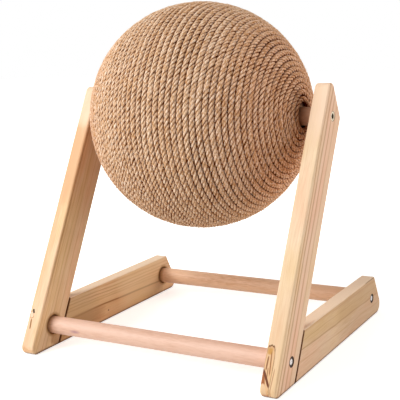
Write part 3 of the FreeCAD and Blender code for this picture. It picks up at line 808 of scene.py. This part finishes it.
# height over the rope's middle tells where two turns meet, which get a darker painted shade
layParts = addNode(tree, "SeparateXYZ", {0: laid.outputs["Vector"]})
start, end = metres(jute["meeting"])
raised = addNode(tree, "MapRange", {0: layParts.outputs[1], 1: start, 2: end},
                 interpolation_type="SMOOTHSTEP")
colour = addNode(tree, "Mix", {0: raised, 6: hexColour(jute["deep"]), 7: strandTone.outputs[2]},
                 data_type="RGBA")
place = addNode(tree, "TexCoord")
poleReach = jute["poleTones"][-1][0]
fromPole = addNode(tree, "MapRange", {0: distanceFromLine(tree, place, axleLine), 1: 0.0, 2: poleReach * mm})
poleTone = addNode(tree, "ValToRGB", {0: fromPole},
                [(distance / poleReach, code) for distance, code in jute["poleTones"]])
colour = addNode(tree, "Mix", {0: 1.0, 6: colour.outputs[2], 7: poleTone}, data_type="RGBA",
                 blend_type="MULTIPLY")
tree.links.new(colour.outputs[2], shader.inputs["Base Color"])
relief = addNode(tree, "Math", {0: yarnWave, 1: jute["yarnRelief"], 2: mottle}, operation="MULTIPLY_ADD")
bump = addNode(tree, "Bump",
               {"Height": relief, "Strength": jute["relief"], "Distance": jute["reliefDepth"] * mm})
tree.links.new(bump.outputs[0], shader.inputs["Normal"])
setFinish(shader, jute)

middle, outward, sideways, forward, turn = windRope()
along = lengthAlong(middle)
onBall = np.clip(np.minimum(turn, rope["turns"] - turn) / rope["swayStart"], 0, 1)[:, None]
# neighbouring turns wander together, so no gap opens between them
chance = np.random.default_rng(rope["swaySeed"])
wander = np.zeros(len(turn))
for wave in range(rope["swayWaves"]):
    alongBall = chance.uniform(-rope["swayAlong"], rope["swayAlong"])
    roundBall = chance.integers(-rope["swayRound"], rope["swayRound"] + 1)
    phase = alongBall * turn + roundBall * tau * turn + chance.uniform(0, tau)
    wander += np.sin(phase) / math.sqrt(rope["swayWaves"])
wander = wander[:, None] * sideways + drift(along, *rope["rise"])[:, None] * outward
middle = middle + onBall * rope["sway"] * wander
fullness = 1 + drift(along, *rope["thickness"])
layAngle = tau * along / rope["lay"] + drift(along, *rope["layDrift"]) + drift(along, *rope["layRipple"])
ringAngle = tau * np.arange(rope["sides"]) / rope["sides"]
strayAmount, straySpacing, straySeed = rope["strandDrift"]
plumpAmount, plumpSpacing, plumpSeed = rope["plump"]
for pieceName, (first, last) in rope["pieces"].items():
    low = 0 if first < 0 else int(np.argmin(abs(turn - first)))
    high = len(turn) if last > rope["turns"] else int(np.argmin(abs(turn - last))) + 1
    here = slice(low, high)
    for strand in range(rope["strands"]):
        stray = drift(along, strayAmount, straySpacing, straySeed + strand)
        angle = (layAngle + tau * strand / rope["strands"] + stray)[here]
        plump = (fullness * (1 + drift(along, plumpAmount, plumpSpacing, plumpSeed + strand)))[here]
        out = np.cos(angle)[:, None] * outward[here] + np.sin(angle)[:, None] * sideways[here]
        side = np.cos(angle)[:, None] * sideways[here] - np.sin(angle)[:, None] * outward[here]
        centre = middle[here] + (rope["strandSeat"] * fullness[here])[:, None] * out
        onward = unit(forward[here] + tau * rope["strandSeat"] / rope["lay"] * side)
        across = np.cross(onward, out)
        up = rope["strandHeight"] * np.cos(ringAngle)[None, :, None] * plump[:, None, None]
        wide = rope["strandWidth"] * np.sin(ringAngle)[None, :, None] * plump[:, None, None]
        offset = (centre - middle[here])[:, None, :] + up * out[:, None, :] + wide * across[:, None, :]
        rings = (middle[here][:, None, :] + offset) * mm + ballCentre
        name = f"{pieceName}_strand_{strand + 1}"
        mesh = tubeMesh(name, rings)
        # places along the rope, over its middle and beside it, and round the strand, for the jute's patterns
        alongRing = np.repeat(along[here][:, None], rope["sides"], 1)
        lay = np.stack([alongRing, np.sum(offset * outward[here][:, None, :], 2),
                        np.sum(offset * sideways[here][:, None, :], 2)], 2) * mm
        roundRing = np.repeat(ringAngle[None, :], len(alongRing), 0)
        spin = np.stack([np.cos(roundRing), np.sin(roundRing), alongRing * mm], 2)
        for attributeName, values in (("ropeLay", lay), ("strandTurn", spin)):
            attribute = mesh.attributes.new(attributeName, "FLOAT_VECTOR", "POINT")
            attribute.data.foreach_set("vector", values.astype(np.float32).ravel())
        mesh.materials.append(juteMaterial)
        piece = bpy.data.objects.new(name, mesh)
        scene.collection.objects.link(piece)
        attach(piece, "ball")
        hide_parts(pieceName)
print("rope wound,", round(along[-1] * mm, 2), "m")

# loose fibre ends that stand off the rope, most of them combed along it
fuzz = {
    "count": 4500,          # on each length of rope
    "seed": 60,
    "bare": 0.2,            # turns at both ends of a length
    "seat": 2.75,           # mm, from the rope's middle to the foot of a fibre
    "spread": 0.6,          # radians round the rope from its outermost line
    "length": (4.0, 13.0),  # mm
    "thickness": 0.16,      # mm, real fibres are about 0.1 mm and would not show
    "taper": 0.7,           # share of the thickness that is gone at the tip
    "stray": 0.7,           # radians off the rope's own direction
    "curl": 0.35,           # share of its length that a fibre bends aside
    "lift": 1.3,            # mm that the free end stands off, at most
    "leastLift": 0.1,       # share, before it is squared
    "rings": 5,
    "sides": 3,
    "tint": 3.0,            # mm between browner and paler fibres
    "tones": (0.35, 0.65),
}
# the same retted jute as the rope, as single fibres: paler, because no groove shades them
fuzzMaterial, tree, shader = newMaterial("loose_jute_fibre")
place = addNode(tree, "TexCoord")
tint = addNode(tree, "TexNoise",
               {"Vector": place.outputs["Object"], "Scale": 1 / (fuzz["tint"] * mm), "Detail": 1.0})
tone = addNode(tree, "ValToRGB", {0: tint}, list(zip(fuzz["tones"], (jute["brown"], jute["fleck"]))))
tree.links.new(tone.outputs[0], shader.inputs["Base Color"])
setFinish(shader, jute)
for number, (pieceName, (first, last)) in enumerate(rope["pieces"].items()):
    chance = np.random.default_rng(fuzz["seed"] + number)
    ends = (max(first, 0) + fuzz["bare"], min(last, rope["turns"]) - fuzz["bare"])
    low, high = np.searchsorted(turn, ends)
    count, rings, sides = fuzz["count"], fuzz["rings"], fuzz["sides"]
    root = chance.integers(low, high, count)
    aside = chance.normal(0, fuzz["spread"], count)
    stray = chance.normal(0, fuzz["stray"], count)
    length = chance.uniform(*fuzz["length"], count)
    way = chance.choice([-1, 1], count)
    rise = fuzz["lift"] * chance.uniform(fuzz["leastLift"], 1, count) ** 2
    curl = chance.normal(0, fuzz["curl"], count)
    out = np.cos(aside)[:, None] * outward[root] + np.sin(aside)[:, None] * sideways[root]
    side = np.cos(aside)[:, None] * sideways[root] - np.sin(aside)[:, None] * outward[root]
    ahead = way[:, None] * (np.cos(stray)[:, None] * forward[root] + np.sin(stray)[:, None] * side)
    turnAside = np.cross(ahead, out)
    share = np.linspace(0, 1, rings)[None, :, None]
    spine = ((middle[root] + fuzz["seat"] * out)[:, None, :] + share * (length[:, None] * ahead)[:, None, :]
             + share ** 2 * (curl[:, None] * length[:, None] * turnAside)[:, None, :]
             + share ** 2 * (rise[:, None] * out)[:, None, :])
    # keep each fibre on the ball's curve
    distance = np.linalg.norm(spine, axis=2, keepdims=True)
    wanted = np.linalg.norm(spine[:, :1], axis=2, keepdims=True) + share ** 2 * rise[:, None, None]
    spine = spine * (wanted / distance)
    thin = fuzz["thickness"] / 2 * (1 - fuzz["taper"] * share)
    corners = []
    for corner in range(sides):
        angle = tau * corner / sides
        outwards = math.cos(angle) * out + math.sin(angle) * turnAside
        corners.append(spine + thin * outwards[:, None, :])
    points = np.stack(corners, 2).reshape(-1, 3) * mm + ballCentre
    start = (np.arange(count)[:, None, None] * rings + np.arange(rings - 1)[None, :, None]) * sides
    quads = wallQuads(start, sides)
    foot = np.arange(count)[:, None] * rings * sides
    feet = foot + np.arange(sides)[::-1]
    tips = foot + (rings - 1) * sides + np.arange(sides)
    name = pieceName + "_fuzz"
    mesh = bpy.data.meshes.new(name)
    mesh.from_pydata(points.tolist(), [], quads.tolist() + feet.tolist() + tips.tolist())
    mesh.materials.append(fuzzMaterial)
    piece = bpy.data.objects.new(name, mesh)
    scene.collection.objects.link(piece)
    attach(piece, "ball")
print("loose fibre set,", len(rope["pieces"]) * fuzz["count"], "ends")
